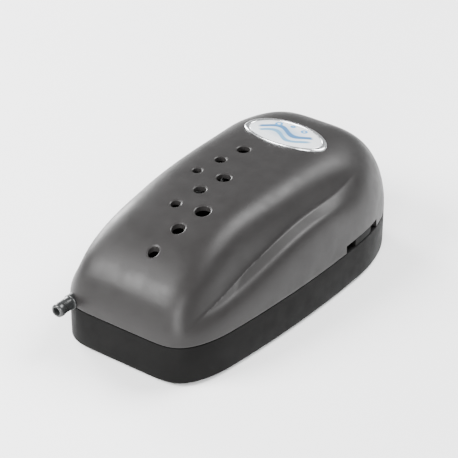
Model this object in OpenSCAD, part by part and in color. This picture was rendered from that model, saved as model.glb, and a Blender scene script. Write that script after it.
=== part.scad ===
// Aquarium air pump, diaphragm type, with one air outlet.
// X runs from the nose (air outlet) to the rear, Z is up, and the origin is on the floor
// under the middle of the overall length.

/* [Housing] */
// Length of the housing, without the outlet nozzle
body_l = 152; // [148:1:156]
// Nominal width of the housing
body_w = 82.6; // [80:0.2:86]
// Height of the base tray's rim above the floor
base_h = 18; // [17.5:0.5:19]
// Height of the cover's crest above the floor
crest_h = 55.6; // [55:0.2:60]
// Wall thickness of the base tray and the cover
wall = 2.2; // [2:0.1:2.4]
// Gap that shows as a seam between the base tray and the cover
seam = 0.3; // [0.2:0.1:0.6]
// How far the rubber feet stand out below the base tray
foot_drop = 0.8; // [0.6:0.1:1.2]

/* [Outlet] */
// Sideways place of the outlet nozzle
nozzle_y = 25.5; // [24:0.5:26]
// Height of the outlet nozzle's axis
nozzle_z = 20; // [19.5:0.5:20.5]
// Length of the nozzle outside the housing
nozzle_out = 8; // [6:0.5:10]
// Outside radius of the nozzle
nozzle_r = 2.9; // [2.5:0.1:3]
// Bore radius of the nozzle
nozzle_bore_r = 1.5; // [1:0.1:1.8]

/* [Vent holes] */
// Radius of the middle vent hole
vent_r = 2.8; // [1.8:0.1:3]
// Rows of vent holes along the hood
vent_rows = 3; // [1:1:3]
// Vent holes in each row
vent_cols = 3; // [1:1:3]

/* [Pump drive] */
// Distance from the nose to the swing arm's pivot
pivot_x = 14; // [14:0.5:15]
// Height of the pivot, the arm and the middle of the core
pivot_z = 28.5; // [28.5:0.5:29]
// Distance from the nose to the diaphragm's axis
pump_x = 37; // [36:0.5:37]
// Radius of the diaphragm's flange
pump_r = 14.5; // [14:0.5:14.5]
// Running clearance between the pivot pin and its bushes
pivot_gap = 0.05; // [0.02:0.01:0.1]

/* [Hidden] */
$fn = 48;
eps = 0.01;

// Overall frame: the nose sits here so that the overall length is centred on the origin
nose_x = (nozzle_out - body_l) / 2;
grey = [0.40, 0.385, 0.385];
black = [0.12, 0.115, 0.11];

// Outline of the housing seen from above, from the nose round the near side to the rear
bulge = 5.5;
taper = 5.6;
nose_run = 24;
rear_run = 43;
nose_power = 0.27;
rear_power = 0.48;
nose_steps = 9;
side_steps = 5;
rear_steps = 10;

// Hood and skirt of the cover
crest_x = 108.5;
nose_drop = 26;
nose_drop_power = 5;
hood_inset_nose = 5;
hood_inset = 8.5;
inset_from = 10.3;
inset_over = 38;
shoulder_power = 6;
shoulder_round = 0.34;
skirt_low = 25.4;
skirt_slope = 0.3;
skirt_slope_run = 10;
skirt_rise = 14.2;
skirt_x = 82.5;
skirt_run = [49, 40];
valley_width = 3.2;
edge_run = 5;
hood_edge_run = 10;
edge_power = 2.4;
edge_square = 1 / 2.6;
dome_power = 3.6;
dome_round = 0.48;
dome_from = 80;
dome_over = 43;
rings = 18;

floor_t = 2.5;
floor_z = foot_drop + floor_t;
lip_t = 1.2;
lip_h = 1.8;
lip_gap = 0.2;

// Rear side notches in the cover and the tongues of the base that stand in them
notch_x = [98, 124];
notch_h = 4;
tongue_x = [105.5, 119.5];
tongue_h = 3.3;

// Distance from the nose to the nozzle's flange, clear of the rounded corner's lip, its thickness,
// and the end of the spigot that the hose meets
flange_x = 10.8;
flange_w = 1;
spigot_x = 12.4;

// Screw posts under the cover
posts = [[18, 18.5], [18, -18.5], [108.5, 27], [108.5, -27]];
post_r = 3.8;
boss_h = 10;
screw_r = 1.5;
feet = [[17, 27.6], [17, -27.6], [128, 24], [128, -24]];
foot_r = 5;

// Opening in the tray's floor for the inlet filter
filter_x = 62;
filter_l = 18;
filter_w = 20;

// Valve stack, from the base's floor up
box_l = 30;
box_h = 12;
gasket_t = 0.8;
plate_t = 2.5;
flange_t = 1.2;
ring_t = 2;
gasket_z = floor_z + box_h;
plate_z = gasket_z + gasket_t;
flange_z = plate_z + plate_t;
ring_z = flange_z + flange_t;
ring_screw_o = 12.6;
inlet_y = -4.6;
outlet_y = 4.6;
flap_l = 9;
flap_w = 5;
flap_t = 0.7;
flap_lift = 0.1;
port_z = 10;
chamber_l = 12;
chamber_w = 11.5;
chamber_y = [-12.5, 1];

// Swing arm
arm_t = 3;
arm_w = 10;
arm_z = pivot_z - arm_t / 2;
hub_r = 4.4;
hub_l = 15;
bush_r = 2.6;
pin_r = 1.5;
ear_y = 8.2;
ear_t = 3;
crown_z = 24.6;
washer_t = arm_z - crown_z - 1.4;
holder_x = 86;
holder_t = 2.4;
magnet_t = 3.4;
magnet_h = 10.5;
magnet_w = 15;
magnet_split = 2;

// Electromagnet
core_x = 95;
core_l = 26;
core_w = 16;
core_h = 39;
limb_l = 20;
limb_h = 10;
outer_limb_h = 6.5;
bobbin_x = 96.5;
bobbin_l = 17;
bobbin_side = 15;
bobbin_high = 11.5;
cheek_t = 1.4;
sleeve_t = 1;
sleeve_gap = 0.15;

strap_x = core_x + limb_l;
strap_w = core_l - limb_l;
strap_t = 1.2;

// Small screws that hold the bracket and the strap to the tray's floor
small_r = 1.2;
floor_hole_z = 2;
bracket_screw_y = [-4, 4];
strap_screw_y = core_w / 2 + 4.2;
floor_screws = concat([for (y = bracket_screw_y) [pivot_x, y]],
    [for (side = [-1, 1]) [strap_x + strap_w / 2, side * strap_screw_y]]);

gland_y = 12;
gland_z = 10;
wire_r = 0.8;
cap_r = 2.6;
cap_l = 9;
cap_y = [19, 25.4];
cap_x = 117;

function half_w(x) = body_w / 2 - bulge * pow(2 * x / body_l - 1, 2) + taper * (x / body_l - 0.5);
function nose_pt(s) = let (t = 45 * (s + s * s * s), x = nose_run * (1 - cos(t)))
    [x, half_w(x) * pow(sin(t), nose_power)];
function rear_pt(s) = let (t = 45 * (s + s * s * s), x = body_l - rear_run * (1 - cos(t)))
    [x, half_w(x) * pow(sin(t), rear_power)];
// One side of the outline, from the nose to the rear, without the two end points on the axis
side_line = concat(
    [for (i = [1:nose_steps]) nose_pt(i / nose_steps)],
    [for (i = [1:side_steps - 1]) let (x = nose_run + (body_l - rear_run - nose_run) * i / side_steps)
        [x, half_w(x)]],
    [for (i = [rear_steps:-1:1]) rear_pt(i / rear_steps)]);
outline = concat(
    [[0, 0]],
    [for (p = side_line) [p[0], -p[1]]],
    [[body_l, 0]],
    [for (i = [len(side_line) - 1:-1:0]) side_line[i]]);
sides = len(outline);

// Outward normal of the outline at point i, and the outline moved inward by d
function out_normal(i) =
    let (a = outline[(i + sides - 1) % sides], b = outline[(i + 1) % sides], v = b - a) [v[1], -v[0]] / norm(v);
function inset(d) = [for (i = [0:sides - 1]) outline[i] - d * out_normal(i)];

// Height of the cover's outer skin
function smooth(t) = let (u = max(0, min(1, t))) u * u * (3 - 2 * u);
function soft_max(a, b) = max(a, b) + valley_width * ln(1 + exp(-abs(a - b) / valley_width));
function hood_line(x) = crest_h - nose_drop * pow(1 - max(0, min(1, x / crest_x)), nose_drop_power);
function hood_side(x) = half_w(x) - hood_inset_nose
    - (hood_inset - hood_inset_nose) * smooth((x - inset_from) / inset_over);
function hood_top(x, y) = let (v = min(1, abs(y) / hood_side(x)))
    base_h + (hood_line(x) - base_h) * pow(1 - pow(v, shoulder_power), shoulder_round);
function skirt_top(x, d) = skirt_low + skirt_slope * min(d, skirt_slope_run)
    + skirt_rise * exp(-pow((x - skirt_x) / skirt_run[x < skirt_x ? 0 : 1], 2));
function edge_round(d, run) = pow(1 - pow(1 - max(0, min(1, d / run)), edge_power), edge_square);
function round_hood(x, y, d) = base_h + (hood_top(x, y) - base_h) * edge_round(d, hood_edge_run);
function front_skin(x, y, d) =
    base_h + (soft_max(skirt_top(x, d), round_hood(x, y, d)) - base_h) * edge_round(d, edge_run);
function dome_skin(rho) = base_h + (crest_h - base_h) * pow(max(0, 1 - pow(rho, dome_power)), dome_round);
function skin(x, y, d, rho) = let (m = smooth((x - dome_from) / dome_over))
    front_skin(x, y, d) * (1 - m) + dome_skin(rho) * m;

hub = [crest_x, 0];
// Ring spacing: close together at the rim, wider towards the crest
function ring_rho(k) = 1 - pow(k / rings, 1.9) * 0.97;
function skin_ring(k) = let (rho = ring_rho(k)) [for (i = [0:sides - 1])
    let (o = outline[i], p = hub + rho * (o - hub), d = (1 - rho) * ((o - hub) * out_normal(i)))
    [p[0], p[1], skin(p[0], p[1], d, rho)]];
rim = base_h + seam;
squeeze = (crest_h - wall - base_h) / (crest_h - base_h);
function raised(p, k) = [p[0], p[1], k == 0 ? rim : max(rim + 0.2, p[2])];
function outer_ring(k) = [for (p = skin_ring(k)) raised(p, k)];
function inner_ring(k) = let (ring = skin_ring(k), rho = ring_rho(k)) [for (i = [0:sides - 1])
    let (p = hub + rho * (outline[i] - wall * out_normal(i) - hub))
    raised([p[0], p[1], base_h + (ring[i][2] - base_h) * squeeze], k)];

// Height of the skin above a point that lies on the spoke from the hub through it
function skin_at(x, y) = let (
    reach = [for (i = [0:sides - 1]) let (o = outline[i] - hub, a = atan2(o[1], o[0]),
        b = atan2(y, x - crest_x), g = abs(a - b)) min(g, 360 - g)],
    near = [for (i = [0:sides - 1]) if (reach[i] == min(reach)) i][0],
    o = outline[near], rho = norm([x, y] - hub) / norm(o - hub),
    d = (1 - rho) * ((o - hub) * out_normal(near)))
    skin(x, y, d, rho);

// Top of a screw post: inside the skin all round the post
function post_top(p) = min([for (a = [0:30:330]) skin_at(p[0] + post_r * cos(a), p[1] + post_r * sin(a))]) - 1;

module from_nose() {
    translate([nose_x, 0, 0]) children();
}

// Closed surface through rings of points, with a point on the hub's axis at each end
module ring_solid(ring_list, first_point, last_point) {
    n = len(ring_list[0]);
    m = len(ring_list);
    points = concat([first_point], [for (ring = ring_list) each ring], [last_point]);
    faces = concat(
        [for (i = [0:n - 1]) [0, 1 + i, 1 + (i + 1) % n]],
        [for (k = [0:m - 2], i = [0:n - 1])
            let (a = 1 + k * n, b = a + n, j = (i + 1) % n) each [[a + i, b + i, a + j], [a + j, b + i, b + j]]],
        [for (i = [0:n - 1]) let (a = 1 + (m - 1) * n) [a + (i + 1) % n, a + i, m * n + 1]]);
    polyhedron(points, faces, convexity = 6);
}

// Tube or rod swept along a list of points that turn gently
function unit(v) = v / norm(v);
function sweep_ring(pts, i, r, n) = let (
    t = unit(pts[min(i + 1, len(pts) - 1)] - pts[max(i - 1, 0)]),
    a = unit(cross(t, abs(t[1]) > 0.9 ? [1, 0, 0] : [0, 1, 0])), b = cross(t, a))
    [for (k = [0:n - 1]) let (w = 360 * k / n) pts[i] + r * (cos(w) * a + sin(w) * b)];
module sweep(pts, r, n = 8) {
    m = len(pts);
    rings_here = [for (i = [0:m - 1]) sweep_ring(pts, i, r, n)];
    ring_solid(rings_here, pts[0], pts[m - 1]);
}
// Smooth curve through four guide points
function bezier(a, b, c, d, t) = pow(1 - t, 3) * a + 3 * pow(1 - t, 2) * t * b
    + 3 * (1 - t) * t * t * c + t * t * t * d;
function curve(a, b, c, d, n) = [for (i = [0:n]) bezier(a, b, c, d, i / n)];

module screw(length, head_r = 2.8, head_t = 1.8, r = screw_r) {
    difference() {
        union() {
            cylinder(r = r, h = length);
            translate([0, 0, -head_t]) cylinder(r = head_r, h = head_t);
        }
        translate([0, 0, -head_t / 2]) cube([head_r * 1.3, 0.7, head_t + eps], center = true);
        translate([0, 0, -head_t / 2]) cube([0.7, head_r * 1.3, head_t + eps], center = true);
    }
}

// Black lower shell with floor, bosses, inner lip and the two side tongues
module base_tray() {
    color(black) from_nose() difference() {
        union() {
            difference() {
                union() {
                    translate([0, 0, foot_drop]) linear_extrude(0.6) polygon(inset(0.8));
                    translate([0, 0, foot_drop + 0.6]) linear_extrude(base_h - foot_drop - 0.6) polygon(outline);
                }
                translate([0, 0, floor_z]) linear_extrude(base_h) polygon(inset(wall));
            }
            tray_lip();
            for (side = [-1, 1]) side_tongue(side);
            for (p = posts) translate([p[0], p[1], floor_z - eps]) cylinder(r = post_r + 0.4, h = boss_h);
        }
        for (p = posts) translate([p[0], p[1], 0]) {
            cylinder(r = screw_r + 0.2, h = base_h);
            cylinder(r = 3.2, h = foot_drop + 2.6);
        }
        for (p = feet) translate([p[0], p[1], 0]) cylinder(r = foot_r, h = foot_drop + 1.2);
        translate([filter_x, -filter_w / 2, 0]) cube([filter_l, filter_w, floor_z + 1]);
        for (p = floor_screws) translate([p[0], p[1], floor_hole_z]) cylinder(r = small_r, h = floor_z);
        translate([-1, nozzle_y, nozzle_z]) rotate([0, 90, 0]) cylinder(r = nozzle_r + 0.2, h = 12);
        translate([body_l - 8, gland_y, gland_z]) rotate([0, 90, 0]) cylinder(r = 4, h = 9);
    }
}

module tray_lip() {
    difference() {
        translate([0, 0, base_h - 3]) linear_extrude(3 + lip_h) polygon(inset(wall + lip_gap));
        translate([0, 0, base_h - 4]) linear_extrude(5 + lip_h) polygon(inset(wall + lip_gap + lip_t));
        // the lip stops where the side tongues and the nozzle are
        for (side = [-1, 1]) translate([notch_x[0] - 1, side * 40 - 10, base_h])
            cube([notch_x[1] - notch_x[0] + 2, 20, 5]);
        translate([-1, nozzle_y - 4, base_h]) cube([10, 8, 5]);
    }
    // bridge between the wall and the lip
    difference() {
        translate([0, 0, base_h - 3]) linear_extrude(2) polygon(inset(wall / 2));
        translate([0, 0, base_h - 4]) linear_extrude(5) polygon(inset(wall + lip_gap + lip_t / 2));
    }
}

module side_tongue(side) {
    intersection() {
        difference() {
            translate([0, 0, base_h - 1]) linear_extrude(1 + tongue_h) polygon(inset(0.5));
            translate([0, 0, base_h - 2]) linear_extrude(8) polygon(inset(wall));
        }
        translate([tongue_x[0], side > 0 ? 20 : -50, base_h - 2]) cube([tongue_x[1] - tongue_x[0], 30, 8]);
    }
}

// Grey upper shell: hood with vent holes, skirt with two rear notches, four screw posts
module top_cover() {
    color(grey) from_nose() difference() {
        union() {
            ring_solid(
                concat([for (k = [rings:-1:0]) inner_ring(k)], [for (k = [0:rings]) outer_ring(k)]),
                [crest_x, 0, crest_h - wall], [crest_x, 0, crest_h]);
            for (p = posts) translate([p[0], p[1], floor_z + boss_h])
                cylinder(r = post_r, h = post_top(p) - floor_z - boss_h);
        }
        vent_holes();
        for (side = [-1, 1]) translate([notch_x[0], side > 0 ? 30 : -50, base_h - 1])
            cube([notch_x[1] - notch_x[0], 20, notch_h + 1]);
        for (p = posts) translate([p[0], p[1], floor_z]) cylinder(r = screw_r, h = 24);
        translate([-1, nozzle_y, nozzle_z]) rotate([0, 90, 0]) cylinder(r = nozzle_r + 0.2, h = 12);
    }
}

// Vents stand on a skewed grid, and the holes grow along each row
vent_start = [18.5, -3];
vent_step = [12.5, -2.6];
vent_row_step = [23.5, 7.2];
function vent_place(i, j) = vent_start + i * vent_step + j * vent_row_step;
function vent_size(i, j) = vent_r * (0.82 + 0.17 * i) * (1 - 0.07 * j);
module vent_holes() {
    for (i = [0:vent_cols - 1], j = [0:vent_rows - 1]) let (p = vent_place(i, j))
        translate([p[0], p[1], base_h + 10]) cylinder(r = vent_size(i, j), h = crest_h);
}

// Oval badge that follows the crest of the cover
badge_c = [112, 0];
badge_half = [10.2, 20];
badge_t = 0.7;
module badge() {
    n = 36;
    ring_n = 5;
    function spot(q, i) = let (a = 360 * i / n)
        [badge_c[0] + q * badge_half[0] * cos(a), badge_c[1] + q * badge_half[1] * sin(a)];
    function level(q, lift) = [for (i = [0:n - 1]) let (p = spot(q, i)) [p[0], p[1], skin_at(p[0], p[1]) + lift]];
    color([0.86, 0.88, 0.90]) from_nose() ring_solid(
        concat([for (k = [1:ring_n]) level(k / ring_n, -0.25)], [for (k = [ring_n:-1:1]) level(k / ring_n, badge_t)]),
        [badge_c[0], badge_c[1], skin_at(badge_c[0], badge_c[1]) - 0.25],
        [badge_c[0], badge_c[1], skin_at(badge_c[0], badge_c[1]) + badge_t]);
}

module rubber_feet() {
    color([0.16, 0.16, 0.16]) from_nose() for (p = feet) translate([p[0], p[1], 0]) {
        cylinder(r = foot_r - 0.1, h = foot_drop + 1.2);
    }
}

module cover_screws() {
    color("silver") from_nose() for (p = posts) translate([p[0], p[1], foot_drop + 2.6]) screw(20);
}

module filter_pad() {
    color([0.85, 0.85, 0.80]) from_nose() translate([filter_x + 1, 1 - filter_w / 2, foot_drop + 1.8])
        cube([filter_l - 2, filter_w - 2, 3]);
}

module filter_grille() {
    color(black) from_nose() difference() {
        translate([filter_x, -filter_w / 2, foot_drop]) cube([filter_l, filter_w, 1.8]);
        for (i = [0:4]) translate([filter_x + 2.4 + 3 * i, -7, foot_drop - 1]) cube([1.4, 14, 4]);
    }
}

// Hose tail: flange inside the housing, straight grey tube with a bead outside
module outlet_nozzle() {
    color([0.27, 0.28, 0.28]) from_nose() translate([0, nozzle_y, nozzle_z]) rotate([0, 90, 0]) difference() {
        union() {
            translate([0, 0, -nozzle_out]) cylinder(r = nozzle_r, h = nozzle_out + eps);
            cylinder(r = nozzle_r + 0.2, h = flange_x);
            translate([0, 0, flange_x]) cylinder(r = nozzle_r + 0.9, h = flange_w);
            translate([0, 0, flange_x]) cylinder(r = nozzle_r - 0.3, h = spigot_x - flange_x);
        }
        translate([0, 0, -nozzle_out - 1]) cylinder(r = nozzle_bore_r, h = nozzle_out + 16);
    }
}

hose_path = concat([[spigot_x + 0.2, nozzle_y, nozzle_z], [spigot_x + 1.5, nozzle_y, nozzle_z]],
    curve([spigot_x + 2.5, nozzle_y, nozzle_z], [26, nozzle_y + 1, nozzle_z - 1],
        [37, 27, port_z], [37, 21.2, port_z], 9),
    [[37, 19.6, port_z]]);
module outlet_hose() {
    color([0.75, 0.77, 0.76]) from_nose() difference() {
        sweep(hose_path, 2.7, 12);
        sweep(concat([hose_path[0] - [1, 0, 0]], hose_path, [hose_path[len(hose_path) - 1] - [0, 1, 0]]), 1.6, 12);
    }
}

// Lower air box: an inlet chamber and an outlet chamber, with the outlet port on the far side
module valve_box() {
    color([0.82, 0.82, 0.78]) from_nose() difference() {
        union() {
            translate([pump_x - box_l / 2, -box_l / 2, floor_z]) cube([box_l, box_l, box_h]);
            translate([pump_x, box_l / 2 - 1, port_z]) rotate([-90, 0, 0]) cylinder(r = 2.6, h = 5.4);
        }
        for (y = chamber_y) translate([pump_x - chamber_l / 2, y, floor_z + 2]) cube([chamber_l, chamber_w, box_h]);
        translate([pump_x, 2, port_z]) rotate([-90, 0, 0]) cylinder(r = 1.5, h = 20);
        translate([pump_x, -6, port_z]) rotate([90, 0, 0]) cylinder(r = 2.5, h = 20);
        ring_screw_places() cylinder(r = 1, h = 30);
    }
}

module ring_screw_places() {
    for (sx = [-1, 1], sy = [-1, 1])
        translate([pump_x + sx * ring_screw_o, sy * ring_screw_o, floor_z + 3]) children();
}

module valve_gasket() {
    color([0.2, 0.2, 0.2]) from_nose() difference() {
        translate([pump_x - box_l / 2, -box_l / 2, gasket_z]) cube([box_l, box_l, gasket_t]);
        for (y = chamber_y) translate([pump_x - chamber_l / 2, y, gasket_z - 1]) cube([chamber_l, chamber_w, 4]);
        ring_screw_places() cylinder(r = 1, h = 30);
    }
}

// Plate with three small holes under each flap
module valve_plate() {
    color([0.70, 0.72, 0.72]) from_nose() difference() {
        translate([pump_x - box_l / 2, -box_l / 2, plate_z]) cube([box_l, box_l, plate_t]);
        for (y = [inlet_y, outlet_y], dx = [-1.6, 1.6], dy = [-1.4, 1.4])
            translate([pump_x + dx, y + dy, plate_z - 1]) cylinder(r = 0.9, h = 6);
        ring_screw_places() cylinder(r = 1, h = 30);
    }
}

// Rubber flap with a bead at its hinged end, lying just off its seat
module flap() {
    bead_r = flap_t / 2;
    translate([bead_r - flap_l / 2, -flap_w / 2, 0]) cube([flap_l - bead_r, flap_w, flap_t]);
    translate([bead_r - flap_l / 2, -flap_w / 2, bead_r]) rotate([-90, 0, 0]) cylinder(r = bead_r, h = flap_w);
}

module inlet_flap() {
    color([0.25, 0.25, 0.25]) from_nose() translate([pump_x, inlet_y, flange_z + flap_lift]) flap();
}

module outlet_flap() {
    color([0.25, 0.25, 0.25]) from_nose() translate([pump_x, outlet_y, plate_z - flap_lift - flap_t]) flap();
}

// Rubber cup with one rolled convolution and a thick middle
module diaphragm() {
    color([0.18, 0.18, 0.18]) from_nose() translate([pump_x, 0, flange_z]) rotate_extrude() difference() {
        polygon([[0, crown_z - flange_z + 1.2], [6.6, crown_z - flange_z + 1.2], [9.4, 4.4],
            [11, flange_t], [pump_r, flange_t], [pump_r, 0], [10.4, 0], [8.2, 4],
            [6.2, crown_z - flange_z - 0.8], [0, crown_z - flange_z - 0.8]]);
        translate([-eps, 0]) square([screw_r + 0.1, 20]);
    }
}

module diaphragm_ring() {
    color([0.70, 0.72, 0.72]) from_nose() difference() {
        translate([pump_x - box_l / 2, -box_l / 2, flange_z]) cube([box_l, box_l, flange_t + ring_t]);
        translate([pump_x, 0, flange_z - 1]) cylinder(r = pump_r + 0.1, h = 1 + flange_t);
        translate([pump_x, 0, flange_z]) cylinder(r = 12, h = 10);
        ring_screw_places() cylinder(r = 1, h = 30);
    }
}

module ring_screws() {
    color("silver") from_nose() for (sx = [-1, 1], sy = [-1, 1])
        translate([pump_x + sx * ring_screw_o, sy * ring_screw_o, ring_z + ring_t])
            rotate([180, 0, 0]) screw(14, 1.9, 1.2, 1);
}

module diaphragm_washer() {
    color("silver") from_nose() translate([pump_x, 0, arm_z - washer_t]) difference() {
        cylinder(r = 6, h = washer_t);
        translate([0, 0, -1]) cylinder(r = screw_r, h = 5);
    }
}

module diaphragm_screw() {
    color("silver") from_nose() translate([pump_x, 0, arm_z + arm_t])
        rotate([180, 0, 0]) screw(arm_z + arm_t - crown_z + 0.8);
}

// Lever with a hub on the pivot, a hole for the diaphragm's screw and a slot for the holder
module swing_arm() {
    color([0.75, 0.75, 0.72]) from_nose() difference() {
        union() {
            translate([pivot_x, -arm_w / 2, arm_z]) cube([holder_x - pivot_x, arm_w, arm_t]);
            translate([pump_x, 0, arm_z]) cylinder(r = 7, h = arm_t);
            translate([pivot_x, -hub_l / 2, pivot_z]) rotate([-90, 0, 0]) cylinder(r = hub_r, h = hub_l);
            for (side = [-1, 1]) translate([pivot_x, side * (arm_w / 2 - 0.8) - 0.8, arm_z + arm_t])
                cube([holder_x - pivot_x, 1.6, 1.2]);
        }
        translate([pivot_x, -hub_l / 2 - 1, pivot_z]) rotate([-90, 0, 0]) cylinder(r = bush_r, h = hub_l + 2);
        translate([pump_x, 0, arm_z - 1]) cylinder(r = screw_r, h = 10);
        translate([pump_x, 0, arm_z + arm_t]) cylinder(r = 3.6, h = 5);
    }
}

module pivot_bushes() {
    color([0.72, 0.55, 0.25]) from_nose() for (side = [-1, 1])
        translate([pivot_x, side > 0 ? 2 : -hub_l / 2 - 0.3, pivot_z]) rotate([-90, 0, 0]) difference() {
            cylinder(r = bush_r, h = hub_l / 2 - 1.7);
            translate([0, 0, -1]) cylinder(r = pin_r + pivot_gap, h = hub_l);
        }
}

module pivot_pin() {
    color("silver") from_nose() translate([pivot_x, -ear_y - ear_t, pivot_z])
        rotate([-90, 0, 0]) cylinder(r = pin_r, h = 2 * (ear_y + ear_t));
}

module pivot_bracket() {
    color([0.70, 0.72, 0.72]) from_nose() difference() {
        union() {
            translate([pivot_x - 5, -ear_y - ear_t, floor_z]) cube([11, 2 * (ear_y + ear_t), 3]);
            for (side = [-1, 1]) translate([pivot_x, side > 0 ? ear_y : -ear_y - ear_t, floor_z]) {
                translate([-4, 0, 0]) cube([8, ear_t, pivot_z - floor_z]);
                translate([0, 0, pivot_z - floor_z]) rotate([-90, 0, 0]) cylinder(r = 4, h = ear_t);
            }
        }
        translate([pivot_x, -20, pivot_z]) rotate([-90, 0, 0]) cylinder(r = pin_r, h = 40);
        for (y = bracket_screw_y) translate([pivot_x, y, floor_z - 1]) cylinder(r = small_r, h = 10);
    }
}

module bracket_screws() {
    color("silver") from_nose() for (y = bracket_screw_y) translate([pivot_x, y, floor_z + 3])
        rotate([180, 0, 0]) screw(4, 2.4, 1.6, small_r);
}

module magnet_holder() {
    color([0.75, 0.75, 0.72]) from_nose()
        translate([holder_x, -magnet_w / 2 - 1, pivot_z - magnet_h - magnet_split / 2 - 1.5])
            cube([holder_t, magnet_w + 2, 2 * magnet_h + magnet_split + 3]);
}

module arm_magnets() {
    color([0.35, 0.35, 0.37]) from_nose() for (z = [-magnet_h - magnet_split / 2, magnet_split / 2])
        translate([holder_x + holder_t, -magnet_w / 2, pivot_z + z]) cube([magnet_t, magnet_w, magnet_h]);
}

// E-shaped stack: a yoke at the rear and three limbs that face the magnets
module laminated_core() {
    color([0.50, 0.50, 0.52]) from_nose() translate([core_x, -core_w / 2, pivot_z - core_h / 2]) {
        translate([limb_l, 0, 0]) cube([core_l - limb_l, core_w, core_h]);
        for (z = [0, core_h - outer_limb_h]) translate([0, 0, z]) cube([limb_l, core_w, outer_limb_h]);
        translate([0, 0, (core_h - limb_h) / 2]) cube([limb_l, core_w, limb_h]);
    }
}

module core_strap() {
    color([0.65, 0.66, 0.68]) from_nose() difference() {
        union() {
            translate([strap_x, -core_w / 2 - strap_t, floor_z]) difference() {
                cube([strap_w, core_w + 2 * strap_t, pivot_z + core_h / 2 - floor_z + strap_t]);
                translate([-1, strap_t, -1])
                    cube([strap_w + 2, core_w, pivot_z + core_h / 2 - floor_z + 1]);
            }
            for (side = [-1, 1]) translate([strap_x, side > 0 ? core_w / 2 : -core_w / 2 - 7, floor_z])
                cube([strap_w, 7, strap_t]);
            // cradle under the core
            translate([core_x, -core_w / 2, floor_z]) cube([core_l, core_w, pivot_z - core_h / 2 - floor_z]);
        }
        for (side = [-1, 1]) translate([strap_x + strap_w / 2, side * strap_screw_y, floor_z - 1])
            cylinder(r = small_r, h = 4);
    }
}

module strap_screws() {
    color("silver") from_nose() for (side = [-1, 1])
        translate([strap_x + strap_w / 2, side * strap_screw_y, floor_z + strap_t])
            rotate([180, 0, 0]) screw(2.4, 2.2, 1.4, small_r);
}

module block_round(x, l, half_y, half_z) {
    translate([x, -half_y, pivot_z - half_z]) cube([l, 2 * half_y, 2 * half_z]);
}

module coil_bobbin() {
    color([0.88, 0.86, 0.78]) from_nose() difference() {
        union() {
            block_round(bobbin_x, cheek_t, bobbin_side, bobbin_high);
            block_round(bobbin_x + bobbin_l - cheek_t, cheek_t, bobbin_side, bobbin_high);
            block_round(bobbin_x, bobbin_l, core_w / 2 + sleeve_gap + sleeve_t, limb_h / 2 + sleeve_gap + sleeve_t);
        }
        block_round(bobbin_x - 1, bobbin_l + 2, core_w / 2 + sleeve_gap, limb_h / 2 + sleeve_gap);
    }
}

module coil_winding() {
    color([0.72, 0.38, 0.18]) from_nose() difference() {
        block_round(bobbin_x + cheek_t, bobbin_l - 2 * cheek_t, bobbin_side - 1.5, bobbin_high - 1.2);
        block_round(bobbin_x, bobbin_l, core_w / 2 + sleeve_gap + sleeve_t, limb_h / 2 + sleeve_gap + sleeve_t);
    }
}

// Two insulated leads from the bobbin's rear cheek to the connectors on the floor
wire_from = bobbin_x + bobbin_l + 0.1;
wire_back = cap_x + 10.5;
wire_paths = [
    concat([[wire_from, 12.8, 22], [wire_from + 2.5, 13, 22]],
        curve([wire_from + 3.5, 13, 21.5], [wire_from + 9.5, 14, 19], [wire_back + 7, 19, 6],
            [wire_back, cap_y[0], 6], 8), [[cap_x + 5.5, cap_y[0], 6]]),
    concat([[wire_from, 13.2, 34], [wire_from + 2.5, 13.4, 34]],
        curve([wire_from + 3.5, 13.6, 33.5], [wire_from + 10.5, 16, 30], [wire_back + 6, 24, 7],
            [wire_back, cap_y[1], 6], 8), [[cap_x + 5.5, cap_y[1], 6]])];
module lead_wires() {
    color([0.15, 0.30, 0.60]) from_nose() for (path = wire_paths) sweep(path, wire_r, 8);
}

module wire_connectors() {
    color([0.80, 0.78, 0.70]) from_nose() for (y = cap_y) translate([cap_x, y, 6]) rotate([0, 90, 0]) {
        difference() {
            cylinder(r = cap_r, h = cap_l);
            translate([0, 0, 2]) cylinder(r = cap_r - 0.7, h = cap_l);
        }
    }
}

// Rubber bush that lines the power lead's hole in the rear wall
module cord_gland() {
    color([0.14, 0.14, 0.14]) from_nose() translate([body_l - 5.5, gland_y, gland_z]) rotate([0, 90, 0]) difference() {
        union() {
            cylinder(r = 4, h = 5.2);
            cylinder(r = 5.4, h = 1.6);
        }
        translate([0, 0, -1]) cylinder(r = 2.8, h = 9);
    }
}

base_tray();
top_cover();
badge();
rubber_feet();
cover_screws();
filter_pad();
filter_grille();
outlet_nozzle();
outlet_hose();
valve_box();
valve_gasket();
valve_plate();
inlet_flap();
outlet_flap();
diaphragm();
diaphragm_ring();
ring_screws();
diaphragm_washer();
diaphragm_screw();
swing_arm();
pivot_bushes();
pivot_pin();
pivot_bracket();
bracket_screws();
magnet_holder();
arm_magnets();
laminated_core();
core_strap();
strap_screws();
coil_bobbin();
coil_winding();
lead_wires();
wire_connectors();
cord_gland();
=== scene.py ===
"""Looks of the aquarium air pump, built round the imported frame."""
import math

import bmesh
import bpy
import numpy as np
from mathutils import Matrix, Vector


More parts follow.
